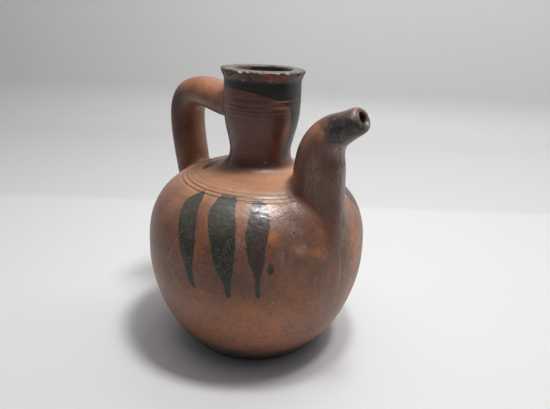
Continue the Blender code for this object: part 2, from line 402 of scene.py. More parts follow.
def past(value, start, spread):
    """From 0 to 1 over a spread that begins at start."""
    return float(ease((value - start) / spread))


def wavy(point, scale):
    """A smooth wave of about -1 to 1, whose swells are 1/scale metres across."""
    return noise.noise(point * scale)


finer(bm, lambda p: at_rim_or_tip(p) or near_line(p, FINER_REACHES[0]))
finer(bm, lambda p: near_line(p, FINER_REACHES[1]))
finer(bm, lambda p: NECK_LINES_LOW < p.z < NECK_LINES_HIGH and off_axis(p) < NECK_LINES_R)
tip_x, tip_z = spout_line[-1]
tip = Vector((tip_x, 0, tip_z))
for vert in bm.verts:
    point = vert.co.copy()
    nearest, _, _, gap_body = body_tree.find_nearest(point)
    gap_added = min(gap_to(spout_tree, point), gap_to(handle_tree, point))
    on_body = 1 - float(ease(gap_body / BODY_GAP))
    if gap_added > TRUE_FROM_JOIN and gap_body < TRUE_GAP:
        vert.co = nearest
    on_neck = point.z > NECK_FROM
    out = Vector((point.x, point.y, 0)).normalized() if on_neck else vert.normal.copy()
    lift = sum(height * wavy(point, scale) for scale, height in UNEVEN)
    by_join = float(ease(1 - max(gap_body, gap_added) / JOIN_REACH))
    lift += JOIN_LUMPS[1] * wavy(point, JOIN_LUMPS[0]) * by_join
    waver = RIDGE_WAVER[1] * wavy(point, RIDGE_WAVER[0])
    lift += RIDGE_HEIGHT * math.sin(point.z * RIDGES_PER_METRE + waver) * on_body
    lift -= cut_depth(point.z, SHOULDER_LINES) * on_body
    if on_neck:
        lift -= cut_depth(point.z, NECK_LINES) * on_body
    on_lip = on_body * past(point.z, *CHIPPED_Z) * past(off_axis(point), *CHIPPED_R)
    rough_edge = wavy(point, CHIP_NOISE[0]) + 0.5 * wavy(point, CHIP_NOISE[1])
    chip = past(rough_edge, CHIP_START, CHIP_SPREAD)
    lift -= CHIP_DEPTH * on_lip * chip
    near_tip = float(ease(1 - (point - tip).length / TIP_WORN))
    lift -= TIP_WEAR * near_tip * past(wavy(point, TIP_NOISE), -TIP_START, TIP_SPREAD)
    vert.co += out * lift
    if point.z > TOP_FROM:
        vert.co.z -= TOP_CHIP * chip * on_lip + TOP_WAVE[1] * (1 + wavy(point, TOP_WAVE[0]))
low, high = (np.array(corner) for corner in cad_box)
for vert in bm.verts:
    vert.co = np.clip(np.array(vert.co), low, high)
bm.to_mesh(jug.data)
bm.free()

# The inside is hollow: a mouth with a softened edge, a narrow throat and a wide belly over a flat floor.
# A hole through the spout, a little above its middle, lets the jug pour. Both are cut from the fused skin.
BODY_WALL = 0.0065
BASE_WALL = 0.008
THROAT_R = 0.0170
MOUTH_EDGE = ((0.0030, 0.0100), (0.0016, 0), (0.0005, -0.0006), (0, -0.0020))
MOUTH_STRAIGHT = 0.006
THROAT_DROP = 0.3
VAULT_START = 1.1
VAULT_TURN = 0.46
FLOOR_ROOM = 0.003
FLOOR_CORNER = ((0.003, 0.0006), (0.007, 0))
SPOUT_BORE_ROOT_R = 0.0125
SPOUT_BORE_TIP_R = 0.0039
SPOUT_BORE_LIFT = 0.0012
BORE_SKIPS = 5
BORE_PAST = 0.01
BORE_FLARE = (1.08, 2.2)
BORE_SIDES = 28


def hollow_outline():
    """Radius and height of the cavity, from above the mouth down to the jug's floor."""
    line = [(MOUTH_R + wider, RIM_Z + higher) for wider, higher in MOUTH_EDGE]
    for z in np.linspace(RIM_Z - MOUTH_STRAIGHT, WAIST_Z, 12):
        line.append((THROAT_R + (MOUTH_R - THROAT_R) * float(ease((z - WAIST_Z) / (RIM_Z - WAIST_Z))), z))
    line.append((THROAT_R, shoulder_height(THROAT_R) - THROAT_DROP * BODY_WALL))
    first_r = THROAT_R + VAULT_START * BODY_WALL
    turns = np.sin(np.linspace(0, VAULT_TURN, 22) * math.pi)
    skin = [(r, shoulder_height(r)) for r in first_r + (BELLY_R - first_r) * turns]
    skin += [(body_radius(z), z) for z in np.linspace(BELLY_Z, FOOT_TURN, 14)]
    for before, here, after in zip(skin, skin[1:], skin[2:]):
        down = Vector((after[0] - before[0], after[1] - before[1])).normalized()
        line.append((here[0] + down.y * BODY_WALL, here[1] - down.x * BODY_WALL))
    line = [point for point in line if point[1] > BASE_WALL + FLOOR_ROOM]
    last_r = line[-1][0]
    return line + [(last_r - inwards, BASE_WALL + above) for inwards, above in FLOOR_CORNER]


hollow = spun("hollow", hollow_outline(), HOLLOW_STEPS)
bore_end = (tip_x + BORE_PAST * math.cos(SPOUT_RISE), tip_z + BORE_PAST * math.sin(SPOUT_RISE))
bore_line = spout_line[BORE_SKIPS:] + [bore_end]
bore_run = run_along(bore_line)
bore_share = ease(bore_run / (bore_run[-1] - BORE_PAST))
bore_line = [(x, z + SPOUT_BORE_LIFT * part) for (x, z), part in zip(bore_line, bore_share)]
bore_rs = SPOUT_BORE_ROOT_R + (SPOUT_BORE_TIP_R - SPOUT_BORE_ROOT_R) * bore_share
bore_rs[-len(BORE_FLARE) :] *= BORE_FLARE
bore = drawn("spout_bore", bore_line, [(r, r) for r in bore_rs], BORE_SIDES)
for cutter in (hollow, bore):
    cut = jug.modifiers.new(cutter.name, "BOOLEAN")
    cut.operation = "DIFFERENCE"
    cut.object = cutter
    cut.solver = "EXACT"
made_real(jug)
for cutter in (hollow, bore):
    bpy.data.objects.remove(cutter)

# Dark glaze was poured round the neck and dribbled down the shoulder, so it ends in long runs.
# How deep each point of the skin lies inside a glazed patch is kept with the mesh, in mm, for the finish.
# A run is a list of heights, each with its place round the jug in degrees from the spout, and its width.
GLAZE_RUNS = (
    (
        (130.9, -87.5, 1), (128.7, -87.5, 8), (125.5, -88.5, 13.5), (122, -87.5, 15.4),
        (116, -85.1, 16.5), (107, -82, 15.2), (97.5, -80.1, 12.2), (90, -79, 7.8), (84, -77.8, 5.2),
        (77, -76.6, 4), (73.8, -75.3, 2.8), (72.6, -75.1, 0),
    ),
    (
        (130.9, -66.7, 11), (129.9, -66.7, 13.2), (124.5, -66.6, 18), (118.4, -64.9, 19.9),
        (107.5, -62.2, 17.1), (95.5, -60.9, 14.1), (87.6, -59.9, 9.9), (83.4, -59, 5.6),
        (76.5, -58.3, 4.3), (72.3, -57.9, 2.8), (71, -57.9, 0),
    ),
    (
        (130.4, -45.5, 7), (129, -45.5, 10), (124, -45.3, 13.5), (119.5, -45.2, 14.4),
        (114.5, -46.1, 14.9), (106.5, -46.3, 12.5), (98, -45.9, 10.2), (90.5, -45.1, 5.8),
        (85, -45.1, 2.7), (78, -45, 2.9), (75, -44.6, 3.8), (73, -44.4, 2.4), (72.2, -44.4, 0),
    ),
    (
        (97.4, -39.4, 0), (96.5, -39.4, 3), (93.2, -39.4, 4.6), (90, -39.4, 3), (89, -39.4, 0),
    ),
    (
        (130.9, 35, 10), (128, 35.5, 16), (120, 36, 19.5), (110, 40.2, 18.5), (104.5, 40.5, 15),
        (95, 41, 12), (87, 41.5, 8), (80, 42, 4), (74, 42, 2.6), (72.5, 42, 0),
    ),
    (
        (130.9, 62, 6), (127, 62, 13), (119, 61, 15.6), (108, 60.2, 14), (98, 59.4, 10), (91, 59, 5),
        (84, 58.8, 3), (79, 58.8, 0),
    ),
    (
        (130.9, 86, 5), (128, 86, 11), (121, 85, 17), (112, 83.5, 17.5), (101, 82, 14), (92, 81, 8.5),
        (86, 80.5, 4), (76, 80, 3), (73, 80, 0),
    ),
    (
        (187, 12, 13.5), (179, 14, 13), (171, 15.5, 9.6), (162, 16, 8.6), (155, 10.5, 7), (149.8, 7.2, 5),
        (147.5, 6.5, 0),
    ),
)
# A spot is its height, its place round the jug and its size. The band ends at these heights round the neck.
GLAZE_SPOTS = (
    (138.2, -147, 4.8), (137.2, -139, 6.4), (136.2, -131, 6.8), (135.3, -126, 4.8), (137.4, 138, 5),
    (136, 131, 4),
)
NECK_BAND = (
    (-180, 196.5), (-120, 197.5), (-79, 197), (-60, 195.9), (-46, 194.3), (-35, 192.9), (-20, 189.8),
    (-7, 187), (0, 184.5), (27, 186), (45, 191), (90, 195.5), (180, 196.5),
)
SPOT_SLOPE = ((130, 139), (57, 30))
SPOT_FLATTEN = 0.9
BAND_DEEPEST = 6
RUN_END = 0.4
BARE = -20.0
ADDED_GAP = 1.6
ADDED_DEPTH = -6
UNDER_LIP = 206
NECK_REACH = 22
MOUTH_SKIN = 21.9
MOUTH_FROM = 150
MOUTH_TO = 209.6
INSIDE_TURN = 60
INSIDE_WAVES = ((7, 3.1), (5, 1.3))
INSIDE_DEPTH = 9
THIN_RUN_TURN = -45
THIN_RUN_REACH = 9
RUNS_TOP = 131

count = len(jug.data.vertices)
place = np.empty(count * 3)
jug.data.vertices.foreach_get("co", place)
place = place.reshape(-1, 3)
x, y, z = (place * 1000).T
radius = np.hypot(x, y)
round_jug = np.degrees(np.arctan2(y, x))
off_body = np.array([gap_to(body_tree, Vector(point)) for point in place]) * 1000


def keep(name, values):
    """Stores one number with each point of the skin, for the finish."""
    kept_values = jug.data.attributes.new(name, "FLOAT", "POINT")
    kept_values.data.foreach_set("value", np.asarray(values, dtype=np.float32))


def turned(degrees):
    """How far each point lies from a place round the jug, in degrees."""
    return (round_jug - degrees + 180) % 360 - 180


def reach_round(degrees):
    """How far each point lies from a place round the jug, in mm along the skin."""
    return turned(degrees) * np.pi / 180 * radius


depth = np.full(count, BARE)
for run in GLAZE_RUNS:
    heights, turns, widths = (np.array(column)[::-1] for column in zip(*run))
    inside = np.interp(z, heights, widths) / 2 - np.abs(reach_round(np.interp(z, heights, turns)))
    from_ends = np.minimum(heights[-1] - z, z - heights[0]) + RUN_END
    depth = np.maximum(depth, np.minimum(inside, from_ends))
for height, turn, size in GLAZE_SPOTS:
    along = (radius - np.interp(height, *SPOT_SLOPE)) * SPOT_FLATTEN
    depth = np.maximum(depth, size / 2 - np.hypot(reach_round(turn), along))
turns, heights = zip(*NECK_BAND)
depth = np.maximum(depth, np.minimum(z - np.interp(round_jug, turns, heights), BAND_DEEPEST))
on_added = (off_body > ADDED_GAP) & (z < UNDER_LIP) & (radius > NECK_REACH)
depth = np.where(on_added, ADDED_DEPTH, depth)
mouth = (radius < MOUTH_SKIN) & (z > MOUTH_FROM) & (z < MOUTH_TO)
waving = turned(INSIDE_TURN)
for degrees, height in INSIDE_WAVES:
    waving = waving + degrees * np.sin(z / height)
depth = np.where(mouth, INSIDE_DEPTH * np.cos(np.radians(waving)) + 1, depth)
keep("glaze_depth", depth)
keep("thin_glaze", ease(1 - np.abs(turned(THIN_RUN_TURN)) / THIN_RUN_REACH) * (z < RUNS_TOP))
keep("inner", mouth)

# Smoke, drying and wear left soft stains: soot, pale bloom, warm patches, bare clay at the chips and chalky
# flecks at the broken edges. Painted shade lies in the creases, on the handle's outer side and low on the
# belly. Some soot by the foot is partly painted shade, some bloom is a painted sheen, and a patch of glaze
# is glossier.
# Each mark is given by its centre, its reach across and up, all in mm, and its strength.
# The first two soot marks, low on the front by the foot, are partly painted shade.
SOOT_AND_FOOT_SHADE_SPOTS = (
    (-6, -64, 14, 26, 6, 0.6), (36, -54, 13, 22, 6, 0.5), (79, -10, 180, 4, 3, 0.8),
    (73, -14, 176, 3, 3, 0.6), (77, -8, 183, 8, 5, 2.0), (84, -6, 184, 6, 5, 1.2),
    (79, -9, 176, 8, 5, 1.9), (71, -9, 186, 5, 3, 0.9), (82, -3, 189, 6, 3, 0.6),
    (72, -10, 172, 4, 4, 0.6), (76, 10, 180, 8, 9, 1.2), (84, 5, 184, 6, 6, 0.8),
    (66, 12, 172, 8, 8, 0.5), (50, -22, 132, 8, 7, 0.2), (88, -4, 184, 4, 5, 0.9),
    (44, -66, 88, 16, 9, 0.2), (0, -80, 80, 22, 7, 0.12), (74, -30, 96, 15, 17, 0.32),
    (66, -42, 108, 9, 12, 0.35), (-20, -76, 96, 12, 20, 0.15), (75, -20, 43, 9, 8, 0.2),
    (12, -79, 40, 16, 9, 0.15), (-52, -52, 100, 14, 26, 0.3), (-60, 50, 100, 22, 20, 0.5),
    (30, 70, 118, 20, 12, 0.4), (66, 44, 80, 12, 18, 0.3),
)
# These marks are painted shade: on the handle's outer side, round the neck's foot, at the spout's root and
# low on the belly.
PAINTED_SHADE_SPOTS = (
    (-94, -8, 150, 6, 40, 0.5), (-90, -10, 172, 8, 10, 0.4), (-84, -13, 155, 8, 34, 0.85),
    (-77, -15, 180, 10, 8, 0.6), (-84, 14, 150, 8, 30, 0.5), (5, -25, 142.5, 19, 4.5, 0.8),
    (-8, -36, 139.5, 16, 3, 0.5), (58, -32, 125, 7, 7, 0.6), (-22, -12, 144, 10, 3.5, 0.6),
    (22, -10, 145, 9, 3.5, 0.6), (0, 24, 143, 26, 3.5, 0.5), (52, -20, 132, 7, 9, 0.7),
    (64, -27, 124, 8, 11, 0.7), (70, -24, 112, 7, 8, 0.4), (55, -17, 150, 6, 14, 0.4),
    (-12, -80, 84, 20, 30, 0.3), (74, -26, 88, 14, 12, 0.12), (40, -72, 82, 18, 7, 0.3),
    (75, -22, 40, 9, 8, 0.2), (14, -74, 24, 26, 10, 0.5), (-50, 60, 90, 30, 40, 0.35),
    (50, 62, 60, 22, 22, 0.35), (-79, 0, 96, 14, 14, 0.4),
)
# The first four marks, down the spout's outer crest, and the long one on the belly below it are a painted
# sheen; the others are pale bloom.
BLOOM_AND_SHEEN_SPOTS = (
    (73, 2, 155, 5, 13, 0.9), (74, 4, 140, 5, 14, 0.9), (75.5, 4, 122, 5, 10, 0.9),
    (80, 1, 107, 4, 9, 0.8), (73, -6, 166, 4, 4, 0.7), (67, -14, 146, 4, 16, 0.5),
    (61, -17, 152, 3, 16, 0.4), (72, -8, 132, 3, 12, 0.4), (66, -43, 98, 4.5, 9, 0.8),
    (66, -33, 116, 5, 4, 0.6), (72, -34, 105, 5, 4, 0.5), (61, -52, 92, 4, 8, 0.3),
    (60, -44, 119, 8, 4, 0.5), (81, -6, 168, 5, 5, 0.5), (-72, -13, 186, 4, 2, 0.4),
    (52, 52, 118, 10, 16, 0.4), (-20, 78, 96, 14, 20, 0.3), (44, -62, 106, 4.5, 13, 0.7),
    (83, 0, 84, 7, 22, 0.5), (79, -16, 74, 9, 14, 0.35), (79, 12, 66, 8, 24, 0.4),
    (84.5, -6.5, 190.5, 2.4, 2.2, 2.2),
)
GLOW = (
    (71.7, -34, 104.6, 3.4, 3.2, 0.6), (77, -23, 101.2, 6, 2.6, 0.6), (79, -18, 99, 4.0, 5.0, 0.6),
    (22, -69, 114, 8, 11, 0.4), (41, -57, 114, 5, 9, 0.4), (59, -47, 114, 4, 6, 0.9),
    (52, -58, 62, 13, 12, 0.5), (66, -44, 52, 14, 12, 0.6), (26, -76, 58, 16, 12, 0.4),
    (58, -10, 179, 5, 5, 0.6), (65, -12, 176, 3, 6, 0.5), (72, -38, 82, 16, 20, 0.4),
    (50, -10, 172, 6, 6, 0.4), (25, -2, 175, 3, 16, 0.9), (81, 16, 86, 7, 28, 1.0),
    (78, 26, 96, 8, 16, 0.6), (-70, -6, 191, 12, 5, 0.7), (-50, -8, 190, 12, 7, 0.8),
    (-30, -70, 70, 14, 16, 0.35), (0, 84, 70, 30, 16, 0.4), (34, -30, 137.5, 9, 3, 0.5),
    (10, -44, 136, 12, 4, 0.4), (-73, 5, 148, 7, 22, 0.8), (-70, -2, 130, 6, 10, 0.5),
)
WORN = (
    (27.5, -11.6, 205.5, 3.6, 2.8, 1.5), (24.8, -18.5, 205.5, 4.2, 2.6, 1.5),
    (21.5, -21.5, 209, 2.6, 1.4, 1.5), (85.5, -6.8, 188.8, 1.4, 1.2, 0.7), (-10, -28.5, 209.5, 3, 1, 0.8),
    (-24, 16, 208, 4, 2, 0.8), (14, -26, 204, 3, 2, 0.6),
)
CHALK = (
    (88.4, 2.8, 184.6, 1.3, 1.7, 1.6), (87.2, -1.2, 184.0, 1.2, 0.9, 1.2), (-2, -30, 209, 4, 0.7, 0.6),
    (8, -29, 208.8, 3, 0.8, 0.7), (29, -7, 209, 2.5, 0.7, 0.8), (-14, -26, 208.6, 3, 0.7, 0.9),
    (4, -28, 203.6, 9, 0.7, 0.55), (24, -16, 203.2, 6, 0.7, 0.5), (-18, -22, 202.6, 6, 0.7, 0.5),
    (26.5, -13, 208.6, 1.6, 0.8, 1.2), (72, -12, 186, 5, 3, 0.5), (78, -4, 189, 5, 2, 0.4),
    (78, -11, 177, 6, 3, 0.35),
)
GLOSS = (
    (43, -51, 125, 12, 8, 1.5), (30, -59, 126, 10, 6, 0.7), (50, -48, 116, 10, 9, 0.9),
)
STAINS = (
    ("soot_and_foot_shade", SOOT_AND_FOOT_SHADE_SPOTS),
    ("painted_shade", PAINTED_SHADE_SPOTS),
    ("bloom_and_sheen", BLOOM_AND_SHEEN_SPOTS),
    ("glow", GLOW),
    ("worn", WORN),
    ("chalk", CHALK),
    ("gloss", GLOSS),
)
NECK_TONE_Z = (139.5, 5)
NECK_TONE_R = (40, 6)
ADDED_TONE = (0.2, 4)
SPOUT_FROM_X = 30
HANDLE_FROM_X = -20
LINE_DARKS = (0.5, 1.0, 1.0)
NECK_LINE_DARK = 0.8
INK_WIDTH = 0.30
INK_GAP = 0.6
SMEARED_TURN = (40, 16)
SMEARED_BELOW = 140
SMEARED_PART = 0.8
# Painted highlights lie along two ridges of the neck's lines, on the neck's front beside the spout.
RIDGE_HIGHLIGHT_LEVELS = (190.3, 186.3)
RIDGE_HIGHLIGHT_WIDTH = 0.35
RIDGE_HIGHLIGHT_TURN = (-16, 24)
RIDGE_HIGHLIGHT_R = 33


def stained(spots):
    """How strongly each point is marked by a list of soft stains."""
    marks = [
        force * np.exp(-((x - spot_x) ** 2 + (y - spot_y) ** 2) / across**2 - ((z - spot_z) / tall) ** 2)
        for spot_x, spot_y, spot_z, across, tall, force in spots
    ]
    return np.sum(marks, axis=0)


for name, spots in STAINS:
    keep(name, stained(spots))
neck_up = ease((z - NECK_TONE_Z[0]) / NECK_TONE_Z[1])
keep("neck", neck_up * ease((NECK_TONE_R[0] - radius) / NECK_TONE_R[1]))
added = ease((off_body - ADDED_TONE[0]) / ADDED_TONE[1])
keep("spout_side", added * (x > SPOUT_FROM_X))
keep("handle_side", added * (x < HANDLE_FROM_X))
lines = [(level, dark) for (level, _), dark in zip(SHOULDER_LINES, LINE_DARKS)]
lines += [(level, NECK_LINE_DARK) for level, _ in NECK_LINES]
incised = sum(dark * np.exp(-(((z - level * 1000) / INK_WIDTH) ** 2)) for level, dark in lines)
smeared_over = ease((SMEARED_TURN[0] - np.abs(turned(0))) / SMEARED_TURN[1]) * (z < SMEARED_BELOW)
keep("incised", incised * (off_body < INK_GAP) * (1 - SMEARED_PART * smeared_over))
# Painted highlight along two neck ridges, on the front of the neck only.
ridge_highlight = sum(np.exp(-(((z - level) / RIDGE_HIGHLIGHT_WIDTH) ** 2)) for level in RIDGE_HIGHLIGHT_LEVELS)
keep("ridge_highlight", ridge_highlight * ease(1 - np.abs(turned(RIDGE_HIGHLIGHT_TURN[0])) / RIDGE_HIGHLIGHT_TURN[1]) * (radius < RIDGE_HIGHLIGHT_R))

# The clay fired red-brown to orange, under a thin glassy coat that pools, smokes and wears.
# It is darkest on the neck and the spout, tan on the shoulder, partly as a painted sheen, and warmer
# towards the foot.
# A pair of heights, in metres, is where one tone starts and where it is full.
RED_CLAY = (0.300, 0.105, 0.058, 1)
BROWN_CLAY = (0.190, 0.078, 0.050, 1)
ORANGE_CLAY = (0.500, 0.190, 0.075, 1)
TAN_CLAY_AND_HIGHLIGHT = (0.560, 0.285, 0.150, 1)
VIOLET_CLAY = (0.125, 0.052, 0.042, 1)
GREY_CLAY = (0.130, 0.075, 0.058, 1)
DARK_CLAY_AND_SHADE = (0.085, 0.038, 0.030, 1)
NECK_CLAY = (0.175, 0.060, 0.040, 1)
SPOUT_CLAY = (0.170, 0.085, 0.062, 1)
HANDLE_CLAY = (0.280, 0.115, 0.062, 1)
LIP_CLAY = (0.088, 0.038, 0.030, 1)
RIM_TOP_GREY_AND_SHEEN = (0.125, 0.110, 0.092, 1)
SOOT_AND_SHADE_BLACK = (0.030, 0.029, 0.028, 1)
DUST_AND_SHEEN = (0.350, 0.295, 0.255, 1)
BARE_RED = (0.200, 0.062, 0.038, 1)
FLECK = (0.700, 0.640, 0.560, 1)
GLAZE_DARK = (0.020, 0.021, 0.018, 1)
GLAZE_LIGHT = (0.170, 0.165, 0.130, 1)
GLAZE_OLIVE_SHEEN = (0.062, 0.057, 0.040, 1)
GLAZE_THIN = (0.046, 0.034, 0.034, 1)
GLAZE_TAIL = (0.030, 0.048, 0.038, 1)
WARM_BELOW = (0.100, 0.055)
TAN_AND_SHEEN_ABOVE = (0.112, 0.134)
CLEAN_ABOVE = (0.118, 0.136)
SPECKLED_BELOW = (0.136, 0.118)
# The next two pairs of heights are where painted shade darkens the clay towards the foot.
SHADED_FOOT = (0.030, 0.006)
SOOTY_SHADED_FOOT = (0.024, 0.008)
SPECKLE_BELOW = (0.185, 0.140)
OLIVE_SHEEN_ABOVE = (0.100, 0.124)
OLIVE_SHEEN_BELOW = (0.160, 0.140)
THIN_ABOVE = (0.080, 0.096)
TAILS_BELOW = (0.094, 0.080)
LIP_FROM = (0.2026, 0.2036)
TOP_OF_RIM = (0.2084, 0.2093)
GLASSY_ABOVE = (0.085, 0.125)
LUMP_HEIGHT = 0.00030
PIT_HEIGHT = 0.00018
COAT_ROUGHNESS = 0.26
SHINE = 0.38

clay = bpy.data.materials.new("fired_clay")
clay.use_nodes = True
tree = clay.node_tree
coat = tree.nodes["Principled BSDF"]


def add(kind, sockets=None, **settings):
    """A node of the finish being made, with its settings, and its sockets set or joined to other nodes."""
    made = tree.nodes.new(kind)
    for name, value in settings.items():
        setattr(made, name, value)
    for name, value in (sockets or {}).items():
        if isinstance(value, bpy.types.NodeSocket):
            tree.links.new(value, made.inputs[name])
        else:
            made.inputs[name].default_value = value
    return made


def sums(operation, first, second=0.0):
    """One sum on numbers."""
    return add("ShaderNodeMath", {0: first, 1: second}, operation=operation).outputs[0]


def part_of(value, amount):
    """A share of a number."""
    return sums("MULTIPLY", value, amount)


def plus(first, second):
    """Two numbers added."""
    return sums("ADD", first, second)


def rest_of(value):
    """What a number leaves of 1."""
    return sums("SUBTRACT", 1.0, value)


def at_most(value, limit):
    """A number held under a limit."""
    return sums("MINIMUM", value, limit)


def swing(value, size):
    """A cloudy number as a swing of this size about nothing."""
    return part_of(sums("SUBTRACT", value, 0.5), size)


def blended(first, first_part, second, second_part):
    """Two cloudy numbers, mixed in these parts."""
    return plus(part_of(first, first_part), part_of(second, second_part))


def share(value, start, end):
    """0 where the value is at start and 1 where it is at end, with a soft change between."""
    limits = {"Value": value, "From Min": start, "From Max": end}
    return add("ShaderNodeMapRange", limits, interpolation_type="SMOOTHSTEP").outputs["Result"]


def colours(amount, first, second):
    """The first colour turning into the second."""
    return add("ShaderNodeMix", {0: amount, 6: first, 7: second}, data_type="RGBA").outputs[2]


def kept(name):
    """A number kept with the skin."""
    return add("ShaderNodeAttribute", attribute_name=name).outputs["Fac"]


def mottle(scale, detail=4.0, roughness=0.55, stretch=(1, 1, 1), shift=(0, 0, 0)):
    """Cloudy variation whose patches are about 1/scale metres across."""
    laid = add("ShaderNodeMapping", {"Vector": where, "Scale": stretch, "Location": shift})
    cloud = {"Vector": laid.outputs[0], "Scale": scale, "Detail": detail, "Roughness": roughness}
    return add("ShaderNodeTexNoise", cloud).outputs[0]


def dots(scale, size, shift):
    """Scattered round dots, one in some of the cells of a grid of about 1/scale metres."""
    laid = add("ShaderNodeMapping", {"Vector": where, "Location": shift})
    cells = add("ShaderNodeTexVoronoi", {"Vector": laid.outputs[0], "Scale": scale})
    chance = add("ShaderNodeSeparateColor", {"Color": cells.outputs["Color"]}).outputs[0]
    reach = part_of(share(chance, 0.45, 1.0), size)
    return share(sums("SUBTRACT", reach, cells.outputs["Distance"]), 0.0, 0.06)


def scratch(middle, across, reach, width):
    """A thin straight scratch: where a plane through its middle meets the skin. Sizes are in mm."""
    centre = [value / 1000 for value in middle]
    near = add("ShaderNodeVectorMath", {0: where, 1: centre}, operation="SUBTRACT").outputs[0]
    off = add("ShaderNodeVectorMath", {0: near, 1: across}, operation="DOT_PRODUCT").outputs["Value"]
    far = add("ShaderNodeVectorMath", {0: near}, operation="LENGTH").outputs["Value"]
    wobble = swing(mottle(130, 1.0), 0.0015)
    line = share(sums("ABSOLUTE", plus(off, wobble)), width / 700, width / 2500)
    broken = share(mottle(500, 2.0), 0.40, 0.50)
    return part_of(part_of(line, share(far, reach / 1000, reach / 1300)), broken)


where = add("ShaderNodeTexCoord").outputs["Object"]
up = add("ShaderNodeSeparateXYZ", {"Vector": where}).outputs[2]
broad = mottle(16)
broader = mottle(24, 3, 0.6, shift=(1.3, 0.4, 0.2))
patchy = mottle(48, 5, 0.6)
blotchy = mottle(120, 4, 0.6, shift=(3, 1, 2))
fine = mottle(300, 4, 0.65)
grain = mottle(900, 3, 0.6)
turning = mottle(9, 5, 0.6, stretch=(1, 1, 26))
peppered = mottle(620, 3, 0.7, shift=(2, 6, 1))
streaky = mottle(190, 4, 0.7, stretch=(1, 1, 3.2), shift=(4, 1, 5))
upright = mottle(90, 4, 0.6, stretch=(2.2, 2.2, 0.35))
combed = mottle(110, 4, 0.65, stretch=(5, 5, 0.4), shift=(2, 2, 2))

body = colours(share(broad, 0.38, 0.62), BROWN_CLAY, RED_CLAY)
body = colours(part_of(share(patchy, 0.42, 0.66), 0.35), body, ORANGE_CLAY)
body = colours(part_of(share(up, *WARM_BELOW), 0.35), body, ORANGE_CLAY)
# The tan on the shoulder's top is partly the clay's own, partly a painted sheen of the light from above.
body = colours(part_of(share(up, *TAN_AND_SHEEN_ABOVE), 0.85), body, TAN_CLAY_AND_HIGHLIGHT)
body = colours(part_of(share(turning, 0.50, 0.66), 0.35), body, BROWN_CLAY)
body = colours(part_of(share(broader, 0.46, 0.62), 0.33), body, GREY_CLAY)
neck_tone = colours(share(blotchy, 0.35, 0.65), VIOLET_CLAY, NECK_CLAY)
body = colours(part_of(kept("neck"), share(kept("glow"), 1.0, 0.2)), body, neck_tone)
body = colours(kept("spout_side"), body, colours(share(upright, 0.38, 0.62), SPOUT_CLAY, BROWN_CLAY))
body = colours(kept("handle_side"), body, colours(share(patchy, 0.35, 0.60), BROWN_CLAY, HANDLE_CLAY))
speckled = part_of(share(fine, 0.42, 0.64), share(up, *SPECKLED_BELOW))
body = colours(blended(speckled, 0.26, share(fine, 0.46, 0.66), 0.18), body, VIOLET_CLAY)
grime = blended(share(peppered, 0.52, 0.64), 0.36, share(streaky, 0.54, 0.66), 0.30)
grime = part_of(grime, rest_of(part_of(share(up, *CLEAN_ABOVE), 0.65)))
body = colours(at_most(grime, 0.6), body, DARK_CLAY_AND_SHADE)
dusty = part_of(share(grain, 0.54, 0.68), sums("SUBTRACT", 0.28, part_of(kept("neck"), 0.20)))
body = colours(dusty, body, DUST_AND_SHEEN)

# Soot, painted shade, warm patches, and bloom with its painted sheen lie over the clay where the stains
# say, broken up by its own mottle.
# Towards the foot the clay is darkened with painted shade, and just above the table it is blacker, partly
# painted shade and partly a dark stain.
soot_and_foot_shade = part_of(kept("soot_and_foot_shade"), plus(0.30, share(blended(blotchy, 0.45, fine, 0.55), 0.38, 0.60)))
# Painted shade where the marks above say.
painted_shade = part_of(kept("painted_shade"), plus(0.6, part_of(patchy, 0.6)))
body = colours(at_most(painted_shade, 0.85), body, DARK_CLAY_AND_SHADE)
# Painted shade towards the foot; the blackest band is partly a dark stain.
body = colours(part_of(share(up, *SHADED_FOOT), 0.8), body, DARK_CLAY_AND_SHADE)
body = colours(part_of(share(up, *SOOTY_SHADED_FOOT), 0.75), body, SOOT_AND_SHADE_BLACK)
# Soot on the spout and elsewhere; low on the front by the foot it is partly painted shade.
body = colours(at_most(soot_and_foot_shade, 0.95), body, SOOT_AND_SHADE_BLACK)
soot_dust = part_of(share(blended(fine, 0.6, patchy, 0.4), 0.48, 0.62), 0.30)
body = colours(part_of(at_most(soot_and_foot_shade, 1.0), soot_dust), body, DUST_AND_SHEEN)
glow = part_of(kept("glow"), share(blotchy, 0.26, 0.56))
body = colours(at_most(glow, 0.80), body, colours(kept("spout_side"), ORANGE_CLAY, TAN_CLAY_AND_HIGHLIGHT))
# Pale bloom, with a painted sheen down the spout's crest.
bloom_and_sheen_cloud = plus(part_of(upright, 0.3), blended(combed, 0.4, fine, 0.3))
bloom_and_sheen = part_of(kept("bloom_and_sheen"), share(bloom_and_sheen_cloud, 0.44, 0.60))
body = colours(at_most(bloom_and_sheen, 0.6), body, DUST_AND_SHEEN)

# The glaze is near black, olive high on the runs, which is partly a painted sheen, green in their tails,
# and thin in one run.
# Pale crystals speckle it, and its edge is a little ragged.
ragged = plus(kept("glaze_depth"), swing(mottle(420, 3), 1.8))
glazed = share(ragged, -0.30, 0.30)
speckle = share(blended(grain, 0.7, blotchy, 0.3), 0.44, 0.68)
speckle = part_of(speckle, share(up, *SPECKLE_BELOW))
